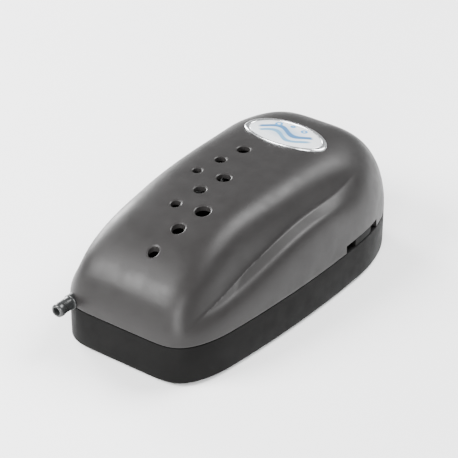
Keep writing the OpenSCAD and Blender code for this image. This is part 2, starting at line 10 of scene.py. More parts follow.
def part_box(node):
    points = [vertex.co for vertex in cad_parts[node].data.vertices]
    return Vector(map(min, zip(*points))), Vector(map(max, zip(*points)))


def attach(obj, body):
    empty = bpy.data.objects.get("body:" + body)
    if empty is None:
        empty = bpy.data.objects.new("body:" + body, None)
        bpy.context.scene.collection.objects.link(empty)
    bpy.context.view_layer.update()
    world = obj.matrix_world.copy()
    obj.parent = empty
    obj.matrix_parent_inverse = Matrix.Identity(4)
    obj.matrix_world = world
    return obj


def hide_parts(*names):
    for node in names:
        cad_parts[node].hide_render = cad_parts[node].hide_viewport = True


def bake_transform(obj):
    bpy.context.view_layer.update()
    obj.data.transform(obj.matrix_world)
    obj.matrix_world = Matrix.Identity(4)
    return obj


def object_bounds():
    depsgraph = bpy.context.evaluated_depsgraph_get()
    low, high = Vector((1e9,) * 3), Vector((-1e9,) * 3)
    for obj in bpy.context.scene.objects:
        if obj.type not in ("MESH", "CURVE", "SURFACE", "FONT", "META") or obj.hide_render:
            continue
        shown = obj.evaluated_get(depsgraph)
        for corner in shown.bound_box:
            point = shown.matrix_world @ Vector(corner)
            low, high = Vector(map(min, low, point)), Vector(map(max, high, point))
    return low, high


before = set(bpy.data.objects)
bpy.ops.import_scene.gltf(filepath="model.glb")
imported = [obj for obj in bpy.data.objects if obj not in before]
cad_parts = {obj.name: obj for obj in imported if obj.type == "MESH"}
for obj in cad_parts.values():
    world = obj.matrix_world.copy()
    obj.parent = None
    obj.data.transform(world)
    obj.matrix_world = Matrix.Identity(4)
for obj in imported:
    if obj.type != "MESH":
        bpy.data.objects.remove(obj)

CAD_LO, CAD_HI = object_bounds()
MM = 0.001
TAU = 2 * math.pi

# ---------------------------------------------------------------- frame of the housing
# The shapes are worked out in millimetres from the nose: x to the rear, y to the outlet's
# side, z up from the floor. to_frame() puts them in the frame's metres.
TRAY_LO, TRAY_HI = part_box("base_tray")
COVER_LO, COVER_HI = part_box("top_cover")
NOSE_X = TRAY_LO.x


def to_frame(points):
    """Points in millimetres from the nose, as points in the frame's metres."""
    out = np.asarray(points, float) * MM
    out[..., 0] += NOSE_X
    return out


def place(x, y, z):
    """One point in the frame from its millimetres."""
    return Vector(to_frame([x, y, z]))


def node_box(node):
    """The lowest and highest corners of a CAD node, in millimetres from the nose."""
    low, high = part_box(node)
    shift = Vector((NOSE_X, 0, 0))
    return (low - shift) / MM, (high - shift) / MM


# ---------------------------------------------------------------- design dimensions
BODY_L = (TRAY_HI.x - TRAY_LO.x) / MM
BODY_W = 82.6
TONGUE_H = 3.3
BASE_H = TRAY_HI.z / MM - TONGUE_H
CREST_H = COVER_HI.z / MM
TRAY_BOTTOM = TRAY_LO.z / MM
SEAM = 0.3
RIM = BASE_H + SEAM
WALL = 2.2
FLOOR_T = 2.5
FLOOR_Z = TRAY_BOTTOM + FLOOR_T

# The outline seen from above: bulged sides that widen to the rear, and two round ends
BULGE = 5.5
TAPER = 5.6
NOSE_RUN = 24
REAR_RUN = 43
NOSE_POWER = 0.27
REAR_POWER = 0.48

# The skin: a hood that drops to the nose, a skirt along each side with a valley between
# them, rounded rims, and a dome that takes over at the rear
CREST_X = 108.5
HUB = np.array([CREST_X, 0.0])
NOSE_DROP = 26
NOSE_DROP_POWER = 5
HOOD_INSET_NOSE = 5
HOOD_INSET = 8.5
INSET_FROM = 10.3
INSET_OVER = 38
SHOULDER_POWER = 6
SHOULDER_ROUND = 0.34
SKIRT_LOW = 25.4
SKIRT_SLOPE = 0.3
SKIRT_SLOPE_RUN = 10
SKIRT_RISE = 14.2
SKIRT_X = 82.5
SKIRT_RUN_NOSE = 49
SKIRT_RUN_REAR = 40
VALLEY_WIDTH = 3.2
EDGE_RUN = 5
HOOD_EDGE_RUN = 10
EDGE_POWER = 2.4
EDGE_SQUARE = 1 / 2.6
DOME_FROM = 80
DOME_OVER = 43
DOME_POWER = 3.6
DOME_ROUND = 0.48

# Three rows of three vent holes on a skewed grid
VENT_R = 2.8
VENT_START = np.array([18.5, -3.0])
VENT_STEP = np.array([12.5, -2.6])
VENT_ROW_STEP = np.array([23.5, 7.2])
VENT_FILLET = 0.6
VENT_SINK = 0.4

# Screw posts, and the notch in the cover's rim with the tray's upright in it
POSTS = [(18, 18.5), (18, -18.5), (108.5, 27), (108.5, -27)]
POST_R = 3.8
SCREW_R = 1.5
NOTCH_X = (98, 124)
NOTCH_H = 4
TONGUE_X = (105.5, 119.5)

# Hose tail, cord bush, filter grille, feet and the small screws in the tray's floor
NOZZLE_R = 2.9
FLANGE_X = 10.8
NOZZLE_LOW, NOZZLE_HIGH = node_box("outlet_nozzle")
NOZZLE_Y = (NOZZLE_LOW.y + NOZZLE_HIGH.y) / 2
NOZZLE_Z = (NOZZLE_LOW.z + NOZZLE_HIGH.z) / 2
GLAND_LOW, GLAND_HIGH = node_box("cord_gland")
GLAND_Y = (GLAND_LOW.y + GLAND_HIGH.y) / 2
GLAND_Z = (GLAND_LOW.z + GLAND_HIGH.z) / 2
GRILLE_LOW, GRILLE_HIGH = node_box("filter_grille")
FEET = [(17, 27.6), (17, -27.6), (128, 24), (128, -24)]
FOOT_R = 5
SMALL_R = 1.2
FLOOR_HOLE_Z = 2
FLOOR_SCREWS = [(14, 4), (14, -4), (118, 12.2), (118, -12.2)]

# How finely the shells are divided: points round the outline, and rings up to the crest
SPOKES = 440
OUTER_RINGS = 118
INNER_RINGS = 44


# ---------------------------------------------------------------- outline and skin
def half_width(x):
    return BODY_W / 2 - BULGE * (2 * x / BODY_L - 1) ** 2 + TAPER * (x / BODY_L - 0.5)


def corner(run, power, end, steps):
    """One rounded end of the outline, from its tip on the axis to its full width."""
    s = np.linspace(0, 1, steps + 1)
    turn = np.radians(45 * (s + s**3))
    x = run * (1 - np.cos(turn))
    if end > 0:
        x = end - x
    return np.stack([x, half_width(x) * np.sin(turn) ** power], 1)


def dense_outline(count):
    """The outline seen from above at even steps, and its outward normals."""
    nose = corner(NOSE_RUN, NOSE_POWER, 0, 90)
    middle = np.linspace(NOSE_RUN, BODY_L - REAR_RUN, 60)[1:-1]
    rear = corner(REAR_RUN, REAR_POWER, BODY_L, 90)[::-1]
    side = np.concatenate([nose, np.stack([middle, half_width(middle)], 1), rear])
    side[:, 1] *= TRAY_HI.y / MM / side[:, 1].max()
    loop = np.concatenate([side * [1, -1], side[-2:0:-1], side[:1]])
    length = np.concatenate([[0], np.cumsum(np.hypot(*np.diff(loop, axis=0).T))])
    at = np.linspace(0, length[-1], count + 1)[:-1]
    points = np.stack([np.interp(at, length, loop[:, 0]), np.interp(at, length, loop[:, 1])], 1)
    along = np.roll(points, -1, 0) - np.roll(points, 1, 0)
    normal = np.stack([along[:, 1], -along[:, 0]], 1)
    return points, normal / np.linalg.norm(normal, axis=1)[:, None]


OUTLINE, NORMAL = dense_outline(SPOKES)
REACH = ((OUTLINE - HUB) * NORMAL).sum(1)


def inset(distance):
    return OUTLINE - distance * NORMAL


def smooth(t):
    t = np.clip(t, 0, 1)
    return t * t * (3 - 2 * t)


def hood_side(x):
    """Half width of the hood, which draws in from the outline behind the nose."""
    grown = smooth((x - INSET_FROM) / INSET_OVER)
    return half_width(x) - HOOD_INSET_NOSE - (HOOD_INSET - HOOD_INSET_NOSE) * grown


def edge_round(d, run):
    return (1 - (1 - np.clip(d / run, 0, 1)) ** EDGE_POWER) ** EDGE_SQUARE


def skin_height(x, y, d, rho):
    """Height of the cover's outer skin. d is the distance in from the outline, and rho the
    share of the way from the crest to the outline."""
    hood_line = CREST_H - NOSE_DROP * (1 - np.clip(x / CREST_X, 0, 1)) ** NOSE_DROP_POWER
    v = np.clip(np.abs(y) / hood_side(x), 0, 1)
    hood = (hood_line - BASE_H) * (1 - v**SHOULDER_POWER) ** SHOULDER_ROUND
    hood = BASE_H + hood * edge_round(d, HOOD_EDGE_RUN)
    run = np.where(x < SKIRT_X, SKIRT_RUN_NOSE, SKIRT_RUN_REAR)
    skirt = SKIRT_LOW + SKIRT_SLOPE * np.minimum(d, SKIRT_SLOPE_RUN)
    skirt = skirt + SKIRT_RISE * np.exp(-(((x - SKIRT_X) / run) ** 2))
    top = VALLEY_WIDTH * np.logaddexp(hood / VALLEY_WIDTH, skirt / VALLEY_WIDTH)
    front = BASE_H + (top - BASE_H) * edge_round(d, EDGE_RUN)
    dome = BASE_H + (CREST_H - BASE_H) * np.clip(1 - rho**DOME_POWER, 0, 1) ** DOME_ROUND
    mix = smooth((x - DOME_FROM) / DOME_OVER)
    return front * (1 - mix) + dome * mix


def height_at(points):
    """Height of the skin at any points inside the outline."""
    points = np.asarray(points, float)
    away = points - HUB
    turn = np.arctan2(away[..., 1], away[..., 0])
    reach = OUTLINE - HUB
    spoke_turn = np.arctan2(reach[:, 1], reach[:, 0])
    order = np.argsort(spoke_turn)

    def at(values):
        return np.interp(turn, spoke_turn[order], values[order], period=TAU)

    far = np.hypot(at(reach[:, 0]), at(reach[:, 1]))
    rho = np.clip(np.hypot(away[..., 0], away[..., 1]) / far, 0, 1)
    d = (1 - rho) * at((reach * NORMAL).sum(1))
    return skin_height(points[..., 0], points[..., 1], d, rho)


def vents():
    """Place and radius of each vent hole."""
    for i in range(3):
        for j in range(3):
            yield VENT_START + i * VENT_STEP + j * VENT_ROW_STEP, VENT_R * (0.82 + 0.17 * i) * (1 - 0.07 * j)


# ---------------------------------------------------------------- mesh tools
def link(name, mesh):
    obj = bpy.data.objects.new(name, mesh)
    bpy.context.scene.collection.objects.link(obj)
    return obj


def make_mesh(name, points, faces):
    mesh = bpy.data.meshes.new(name)
    mesh.from_pydata([tuple(p) for p in points], [], faces)
    mesh.validate()
    return mesh


def ring_mesh(name, rings, first=None, last=None):
    """A surface through rings of points with the same count, closed by a point at either end.
    Without the two points the last ring joins the first, as on a torus."""
    rings = np.asarray(rings, float)
    m, n = rings.shape[:2]
    points = [tuple(p) for p in to_frame(rings.reshape(-1, 3))]
    faces = []
    for k in range(m if first is None else m - 1):
        a, b = k * n, (k + 1) % m * n
        for i in range(n):
            j = (i + 1) % n
            faces.append((a + i, a + j, b + j, b + i))
    if first is not None:
        points += [tuple(to_frame(first)), tuple(to_frame(last))]
        end = (m - 1) * n
        for i in range(n):
            j = (i + 1) % n
            faces.append((m * n, j, i))
            faces.append((m * n + 1, end + i, end + j))
    return make_mesh(name, points, faces)


def fix_normals(mesh):
    bm = bmesh.new()
    bm.from_mesh(mesh)
    bmesh.ops.recalc_face_normals(bm, faces=bm.faces)
    bm.to_mesh(mesh)
    bm.free()


def soften(obj, angle=35):
    """Smooth shading, with edges sharper than the angle left crisp."""
    obj.data.shade_smooth()
    obj.data.set_sharp_from_angle(angle=math.radians(angle))


def combine(obj, other, operation):
    """Boolean of obj with other, applied, with other removed."""
    fix_normals(other.data)
    modifier = obj.modifiers.new("cut", "BOOLEAN")
    modifier.operation = operation
    modifier.solver = "EXACT"
    modifier.object = other
    bpy.context.view_layer.update()
    done = bpy.data.meshes.new_from_object(obj.evaluated_get(bpy.context.evaluated_depsgraph_get()))
    obj.modifiers.clear()
    obj.data = done
    bpy.data.objects.remove(other)
    return obj


def joined(name, meshes):
    """One object from several meshes that don't touch each other."""
    bm = bmesh.new()
    for mesh in meshes:
        bm.from_mesh(mesh)
        bpy.data.meshes.remove(mesh)
    mesh = bpy.data.meshes.new(name)
    bm.to_mesh(mesh)
    bm.free()
    return link(name, mesh)


def lathe(name, centre, axis, profile, steps=48, closed=False):
    """A turned solid. The profile is (distance along the axis, radius) in millimetres. A closed
    profile is a ring with a bore, and an open one starts and ends on the axis."""
    axis = Vector(axis).normalized()
    side = axis.orthogonal().normalized()
    other = axis.cross(side)
    centre = Vector(centre)
    rings = []
    for along, radius in profile:
        ring = []
        for k in range(steps):
            turn = TAU * k / steps
            ring.append(centre + axis * along + (side * math.cos(turn) + other * math.sin(turn)) * radius)
        rings.append(ring)
    if closed:
        mesh = ring_mesh(name, rings)
    else:
        mesh = ring_mesh(name, rings, centre + axis * profile[0][0], centre + axis * profile[-1][0])
    fix_normals(mesh)
    return mesh


def rod(x, y, low, high, radius, steps=64):
    return lathe("rod", (x, y, 0), (0, 0, 1), [(low, radius), (high, radius)], steps)


def block(low, high):
    """A plain box between two corners, used only to cut other meshes."""
    corners = [(x, y, z) for x in (low[0], high[0]) for y in (low[1], high[1]) for z in (low[2], high[2])]
    faces = [(0, 1, 3, 2), (4, 6, 7, 5), (0, 4, 5, 1), (2, 3, 7, 6), (0, 2, 6, 4), (1, 5, 7, 3)]
    return make_mesh("block", to_frame(corners), faces)


def arc(centre_a, centre_b, radius, start, stop, steps=5):
    """Points of a fillet, as pairs."""
    turns = np.radians(np.linspace(start, stop, steps))
    return [(centre_a + radius * math.cos(t), centre_b + radius * math.sin(t)) for t in turns]


# ---------------------------------------------------------------- material tools
def principled(name):
    material = bpy.data.materials.new(name)
    material.use_nodes = True
    tree = material.node_tree
    return material, tree.nodes, tree.links, tree.nodes["Principled BSDF"]


def noise(nodes, links, scale, detail=3.0, roughness=0.5, stretch=None):
    """Noise in the object's own metres. The scale is in features per metre."""
    coordinates = nodes.new("ShaderNodeTexCoord")
    texture = nodes.new("ShaderNodeTexNoise")
    texture.inputs["Scale"].default_value = scale
    texture.inputs["Detail"].default_value = detail
    texture.inputs["Roughness"].default_value = roughness
    if stretch is None:
        links.new(coordinates.outputs["Object"], texture.inputs["Vector"])
    else:
        mapping = nodes.new("ShaderNodeMapping")
        mapping.inputs["Scale"].default_value = stretch
        links.new(coordinates.outputs["Object"], mapping.inputs["Vector"])
        links.new(mapping.outputs["Vector"], texture.inputs["Vector"])
    return texture.outputs["Fac"]


def ramp(nodes, links, value, low, high, at=(0.3, 0.7)):
    """A value carried between two greys or two colours."""
    node = nodes.new("ShaderNodeValToRGB")
    node.color_ramp.elements[0].position = at[0]
    node.color_ramp.elements[1].position = at[1]
    node.color_ramp.elements[0].color = colour(low)
    node.color_ramp.elements[1].color = colour(high)
    links.new(value, node.inputs["Fac"])
    return node.outputs["Color"]


def colour(value):
    if isinstance(value, (int, float)):
        return (value, value, value, 1)
    return (*value, 1)


def bump(nodes, links, height, strength, distance, after=None):
    node = nodes.new("ShaderNodeBump")
    node.inputs["Strength"].default_value = strength
    node.inputs["Distance"].default_value = distance
    links.new(height, node.inputs["Height"])
    if after is not None:
        links.new(after, node.inputs["Normal"])
    return node.outputs["Normal"]


def mix(nodes, links, factor, a, b):
    """Two colours mixed by a factor. Each is a colour or a node's output."""
    node = nodes.new("ShaderNodeMix")
    node.data_type = "RGBA"
    for socket, value in ((node.inputs[0], factor), (node.inputs[6], a), (node.inputs[7], b)):
        if isinstance(value, bpy.types.NodeSocket):
            links.new(value, socket)
        elif socket is node.inputs[0]:
            socket.default_value = value
        else:
            socket.default_value = colour(value)
    return node.outputs[2]


def moulded(name, base, spread, rough, grain, grain_height, wear=0.0, specular=0.5, stretch=None):
    """Moulded plastic or rubber: fine spark-eroded grain, cloudy tone, and edges rubbed lighter."""
    material, nodes, links, shader = principled(name)
    cloud = noise(nodes, links, 55, 4)
    dark = tuple(c * (1 - spread) for c in base)
    light = tuple(min(1, c * (1 + spread)) for c in base)
    tone = ramp(nodes, links, cloud, dark, light)
    if wear:
        geometry = nodes.new("ShaderNodeNewGeometry")
        edge = ramp(nodes, links, geometry.outputs["Pointiness"], 0, wear, (0.53, 0.62))
        rubbed = tuple(min(1, c * 1.8 + 0.004) for c in base)
        tone = mix(nodes, links, edge, tone, rubbed)
    links.new(tone, shader.inputs["Base Color"])
    fine = noise(nodes, links, grain, 2, 0.6, stretch)
    broad = noise(nodes, links, 160, 3)
    links.new(ramp(nodes, links, broad, rough - 0.05, rough + 0.06), shader.inputs["Roughness"])
    normal = bump(nodes, links, fine, 0.55, grain_height)
    normal = bump(nodes, links, broad, 0.12, 0.00012, normal)
    links.new(normal, shader.inputs["Normal"])
    shader.inputs["Specular IOR Level"].default_value = specular
    return material


def metal(name, base, rough, stretch=(1, 1, 1), grain=2600):
    """Drawn, stamped or plated metal with fine directional scratches."""
    material, nodes, links, shader = principled(name)
    lines = noise(nodes, links, grain, 3, 0.6, stretch)
    cloud = noise(nodes, links, 120, 4)
    dark = tuple(c * 0.82 for c in base)
    links.new(ramp(nodes, links, cloud, dark, base), shader.inputs["Base Color"])
    links.new(ramp(nodes, links, lines, rough - 0.08, rough + 0.14), shader.inputs["Roughness"])
    links.new(bump(nodes, links, lines, 0.3, 0.00003), shader.inputs["Normal"])
    shader.inputs["Metallic"].default_value = 1.0
    return material


def felt(name, base):
    material, nodes, links, shader = principled(name)
    fibres = noise(nodes, links, 1900, 6, 0.8)
    tufts = noise(nodes, links, 420, 4, 0.7)
    links.new(ramp(nodes, links, fibres, tuple(c * 0.6 for c in base), base), shader.inputs["Base Color"])
    links.new(bump(nodes, links, tufts, 0.9, 0.0006), shader.inputs["Normal"])
    shader.inputs["Roughness"].default_value = 0.95
    shader.inputs["Sheen Weight"].default_value = 0.4
    return material


# ---------------------------------------------------------------- materials
GREY = (0.0140, 0.0130, 0.0128)
BLACK = (0.0022, 0.0021, 0.0020)
PLASTIC = {
    "cover": moulded("cover_plastic", GREY, spread=0.05, rough=0.42, grain=3600,
                     grain_height=0.00003, wear=0.35, specular=0.22),
    "tray": moulded("tray_plastic", BLACK, spread=0.12, rough=0.52, grain=3200,
                    grain_height=0.00004, wear=0.30, specular=0.08),
    "nozzle": moulded("nozzle_plastic", (0.016, 0.017, 0.017), spread=0.08, rough=0.30,
                      grain=2600, grain_height=0.00002, wear=0.30),
    "inner": moulded("inner_plastic", (0.62, 0.61, 0.55), spread=0.05, rough=0.46,
                     grain=2400, grain_height=0.00002, wear=0.10),
    "bobbin": moulded("bobbin_plastic", (0.70, 0.66, 0.52), spread=0.06, rough=0.50,
                      grain=2400, grain_height=0.00002, wear=0.10),
}
RUBBER = moulded("soft_rubber", (0.024, 0.024, 0.024), spread=0.20, rough=0.72, grain=1500,
                 grain_height=0.00005, wear=0.0, specular=0.3)
FOOT_RUBBER = moulded("foot_rubber", (0.030, 0.030, 0.030), spread=0.15, rough=0.80, grain=1300,
                      grain_height=0.00006, wear=0.0, specular=0.25)
HOSE = moulded("hose_silicone", (0.55, 0.57, 0.55), spread=0.04, rough=0.35, grain=900,
               grain_height=0.00001, wear=0.0, specular=0.4)
WIRE = moulded("wire_cover", (0.030, 0.095, 0.30), spread=0.05, rough=0.33,
               grain=1200, grain_height=0.00001)
MAGNET = moulded("ferrite", (0.060, 0.060, 0.066), spread=0.15, rough=0.62,
                 grain=2500, grain_height=0.00006, wear=0.4)
STEEL = metal("bright_steel", (0.60, 0.60, 0.62), rough=0.26)
ZINC = metal("zinc_plate", (0.66, 0.67, 0.64), rough=0.36, stretch=(1, 1, 1), grain=700)
LAMINATIONS = metal("lamination_steel", (0.26, 0.26, 0.28), rough=0.45, stretch=(1, 8, 1), grain=500)
BRONZE = metal("sintered_bronze", (0.62, 0.40, 0.17), rough=0.48, stretch=(1, 1, 1), grain=4000)
COPPER = metal("enamelled_copper", (0.58, 0.20, 0.07), rough=0.28, stretch=(1, 12, 1), grain=300)
BADGE_SILVER = metal("badge_silver", (0.78, 0.79, 0.80), rough=0.20, stretch=(1, 1, 1), grain=1800)
FELT = felt("filter_felt", (0.72, 0.71, 0.64))


def calculate(nodes, links, operation, a, b=0.0, clamp=False):
    """A Math node on two values, each a number or a node's output."""
    node = nodes.new("ShaderNodeMath")
    node.operation = operation
    node.use_clamp = clamp
    for socket, value in ((node.inputs[0], a), (node.inputs[1], b)):
        if isinstance(value, bpy.types.NodeSocket):
            links.new(value, socket)
        else:
            socket.default_value = value
    return node.outputs[0]


def band(nodes, links, distance, width, blur):
    """1 where a distance is below the width, and 0 past the blur."""
    node = nodes.new("ShaderNodeMapRange")
    node.interpolation_type = "SMOOTHSTEP"
    node.inputs["From Min"].default_value = width + blur
    node.inputs["From Max"].default_value = width
    links.new(distance, node.inputs["Value"])
    return node.outputs["Result"]


def distance_of(nodes, links, u, v):
    """Length of the step (u, v)."""
    squares = [calculate(nodes, links, "POWER", value, 2) for value in (u, v)]
    return calculate(nodes, links, "SQRT", calculate(nodes, links, "ADD", *squares))


def badge_print(centre, half):
    """A made-up water design: pearl field, two waves and three bubbles, under a clear dome."""
    material, nodes, links, shader = principled("badge_print")
    coordinates = nodes.new("ShaderNodeTexCoord")
    split = nodes.new("ShaderNodeSeparateXYZ")
    links.new(coordinates.outputs["Object"], split.inputs[0])

    def scaled(output, middle, size):
        shifted = calculate(nodes, links, "SUBTRACT", output, middle)
        return calculate(nodes, links, "DIVIDE", shifted, size)

    u = scaled(split.outputs["Y"], centre.y, half.y)
    v = scaled(split.outputs["X"], centre.x, half.x)
    reach = distance_of(nodes, links, u, v)
    pearl = noise(nodes, links, 260, 3)
    field = ramp(nodes, links, reach, (0.17, 0.30, 0.43), (0.56, 0.58, 0.60), (0.10, 0.60))
    field = mix(nodes, links, calculate(nodes, links, "MULTIPLY", pearl, 0.35), field, (0.72, 0.74, 0.76))
    inside = band(nodes, links, reach, 0.60, 0.10)
    for lift, size, ink in ((-0.30, 0.08, (0.10, 0.24, 0.38)), (0.12, 0.10, (0.04, 0.13, 0.27))):
        angle = calculate(nodes, links, "MULTIPLY", u, 6.5)
        crest = calculate(nodes, links, "MULTIPLY", calculate(nodes, links, "SINE", angle), 0.22)
        away = calculate(nodes, links, "SUBTRACT", calculate(nodes, links, "SUBTRACT", v, lift), crest)
        line = band(nodes, links, calculate(nodes, links, "ABSOLUTE", away), size, 0.05)
        field = mix(nodes, links, calculate(nodes, links, "MULTIPLY", line, inside), field, ink)
    for at_u, at_v, size in ((-0.30, 0.52, 0.10), (0.02, 0.62, 0.07), (0.34, 0.50, 0.12)):
        du = calculate(nodes, links, "SUBTRACT", u, at_u)
        du = calculate(nodes, links, "MULTIPLY", du, half.y / half.x)
        dv = calculate(nodes, links, "SUBTRACT", v, at_v)
        away = distance_of(nodes, links, du, dv)
        edge = calculate(nodes, links, "ABSOLUTE", calculate(nodes, links, "SUBTRACT", away, size))
        field = mix(nodes, links, band(nodes, links, edge, 0.035, 0.03), field, (0.05, 0.22, 0.45))
    links.new(field, shader.inputs["Base Color"])
    links.new(ramp(nodes, links, pearl, 0.16, 0.24), shader.inputs["Roughness"])
    links.new(bump(nodes, links, noise(nodes, links, 300, 2), 0.05, 0.00005), shader.inputs["Normal"])
    shader.inputs["Coat Weight"].default_value = 0.8
    shader.inputs["Coat Roughness"].default_value = 0.05
    return material


# ---------------------------------------------------------------- housing pieces
def dress(obj, material):
    """Gives a piece its one material."""
    if obj.material_slots:
        for entry in obj.material_slots:
            entry.material = material
    else:
        obj.data.materials.append(material)


def finish_piece(obj, material, slot, body, *nodes, angle=35):
    """Material, shading, body and the CAD nodes that a piece stands for. A piece given None here
    is attached to no body."""
    fix_normals(obj.data)
    obj.data.materials.clear()
    obj.data.materials.append(material)
    soften(obj, angle)
    if body:
        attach(obj, body)
    if nodes:
        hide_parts(*nodes)
    return obj


def ring_share(k, rings):
    """Rings lie close together at the rim and wider towards the crest."""
    return 1 - (k / rings) ** 1.9 * 0.985


def cover_ring(share, wall=0.0):
    """One ring of the cover: the outer skin, or the inner one when a wall is given."""
    height = skin_height(*(HUB + share * (OUTLINE - HUB)).T, (1 - share) * REACH, share)
    if wall:
        height = BASE_H + (height - BASE_H) * (CREST_H - wall - BASE_H) / (CREST_H - BASE_H)
    plan = HUB + share * (inset(wall) - HUB)
    return np.column_stack([plan, np.maximum(height, RIM + 0.4)])


def flat_ring(distance, z):
    """The outline moved inward by a distance, at a height."""
    return np.column_stack([inset(distance), np.full(SPOKES, z)])


def vent_dip(x, y):
    """How far the skin rolls down into the vent holes."""
    dip = np.zeros_like(x)
    for centre, radius in vents():
        near = np.clip(1 - (np.hypot(x - centre[0], y - centre[1]) - radius) / VENT_FILLET, 0, 1)
        dip = np.maximum(dip, VENT_SINK * near**2)
    return dip


def add_rings(bm, rings):
    made = [[bm.verts.new(p) for p in ring] for ring in rings]
    for a, b in zip(made, made[1:]):
        for i in range(SPOKES):
            j = (i + 1) % SPOKES
            bm.faces.new((a[i], a[j], b[j], b[i]))
    return made


def close_top(bm, ring, point):
    pole = bm.verts.new(point)
    for i in range(SPOKES):
        bm.faces.new((ring[i], ring[(i + 1) % SPOKES], pole))


def cover_shell():
    """The hood and skirt as one closed shell, with finer faces round the vent holes."""
    bm = bmesh.new()
    lip = [flat_ring(0.3, RIM), flat_ring(0.09, RIM + 0.09), flat_ring(0, RIM + 0.3)]
    outer = add_rings(bm, lip + [cover_ring(ring_share(k, OUTER_RINGS)) for k in range(1, OUTER_RINGS + 1)])
    close_top(bm, outer[-1], (*HUB, CREST_H))
    near = set()
    for face in bm.faces:
        middle = face.calc_center_median()
        for centre, radius in vents():
            if math.hypot(middle.x - centre[0], middle.y - centre[1]) < radius + VENT_FILLET + 0.5:
                near.update(face.edges)
    bmesh.ops.subdivide_edges(bm, edges=list(near), cuts=2, use_grid_fill=True)
    moved = [v for v in bm.verts if v.co.z > BASE_H + 15 and vent_zone(v.co)]
    plan = np.array([v.co.xy for v in moved])
    heights = height_at(plan) - vent_dip(plan[:, 0], plan[:, 1])
    for vertex, z in zip(moved, heights):
        vertex.co.z = z
    inner = add_rings(bm, [flat_ring(WALL, RIM)]
                      + [cover_ring(ring_share(k, INNER_RINGS), WALL) for k in range(1, INNER_RINGS + 1)])
    close_top(bm, inner[-1], (*HUB, CREST_H - WALL))
    bm.verts.ensure_lookup_table()
    for i in range(SPOKES):
        j = (i + 1) % SPOKES
        bm.faces.new((bm.verts[i], bm.verts[j], inner[0][j], inner[0][i]))
    for vertex, co in zip(bm.verts, to_frame([v.co for v in bm.verts])):
        vertex.co = co
    bmesh.ops.recalc_face_normals(bm, faces=bm.faces)
    mesh = bpy.data.meshes.new("top_cover_shell")
    bm.to_mesh(mesh)
    bm.free()
    return link("top_cover_shell", mesh)


def vent_zone(co):
    return any(math.hypot(co.x - c[0], co.y - c[1]) < r + VENT_FILLET + 1.2 for c, r in vents())


def build_cover():
    shell = cover_shell()
    rods = []
    for x, y in POSTS:
        turns = np.linspace(0, TAU, 13)
        round_post = np.stack([x + POST_R * np.cos(turns), y + POST_R * np.sin(turns)], 1)
        rods.append(rod(x, y, COVER_LO.z / MM, height_at(round_post).min() - 1, POST_R))
    combine(shell, joined("posts", rods), "UNION")
    cuts = [rod(c[0], c[1], BASE_H + 10, CREST_H + 3, r) for c, r in vents()]
    cuts += [rod(x, y, FLOOR_Z, FLOOR_Z + 24, SCREW_R) for x, y in POSTS]
    cuts += [block((NOTCH_X[0], s - 10, BASE_H - 1), (NOTCH_X[1], s + 10, BASE_H + NOTCH_H))
             for s in (-40, 40)]
    hole_r = NOZZLE_R + 0.2
    cuts.append(lathe("hole", (-1, NOZZLE_Y, NOZZLE_Z), (1, 0, 0), [(0, hole_r), (12, hole_r)], 64))
    combine(shell, joined("cuts", cuts), "DIFFERENCE")
    finish_piece(shell, PLASTIC["cover"], "cover", "housing", "top_cover")


def side_tongue(side):
    """The upright of the tray that stands in the cover's notch."""
    x = OUTLINE[:, 0]
    keep = [i for i in range(SPOKES) if TONGUE_X[0] < x[i] < TONGUE_X[1] and OUTLINE[i, 1] * side > 0]
    top = BASE_H + TONGUE_H
    section = [(0.5, BASE_H - 1), (0.5, top - 0.4), (0.62, top - 0.12), (0.9, top), (1.9, top),
               (2.1, top - 0.1), (WALL, top - 0.4), (WALL, BASE_H - 1)]
    rings = [[(*(OUTLINE[i] - d * NORMAL[i]), z) for d, z in section] for i in keep]
    return ring_mesh("tongue", rings, np.mean(rings[0], 0), np.mean(rings[-1], 0))


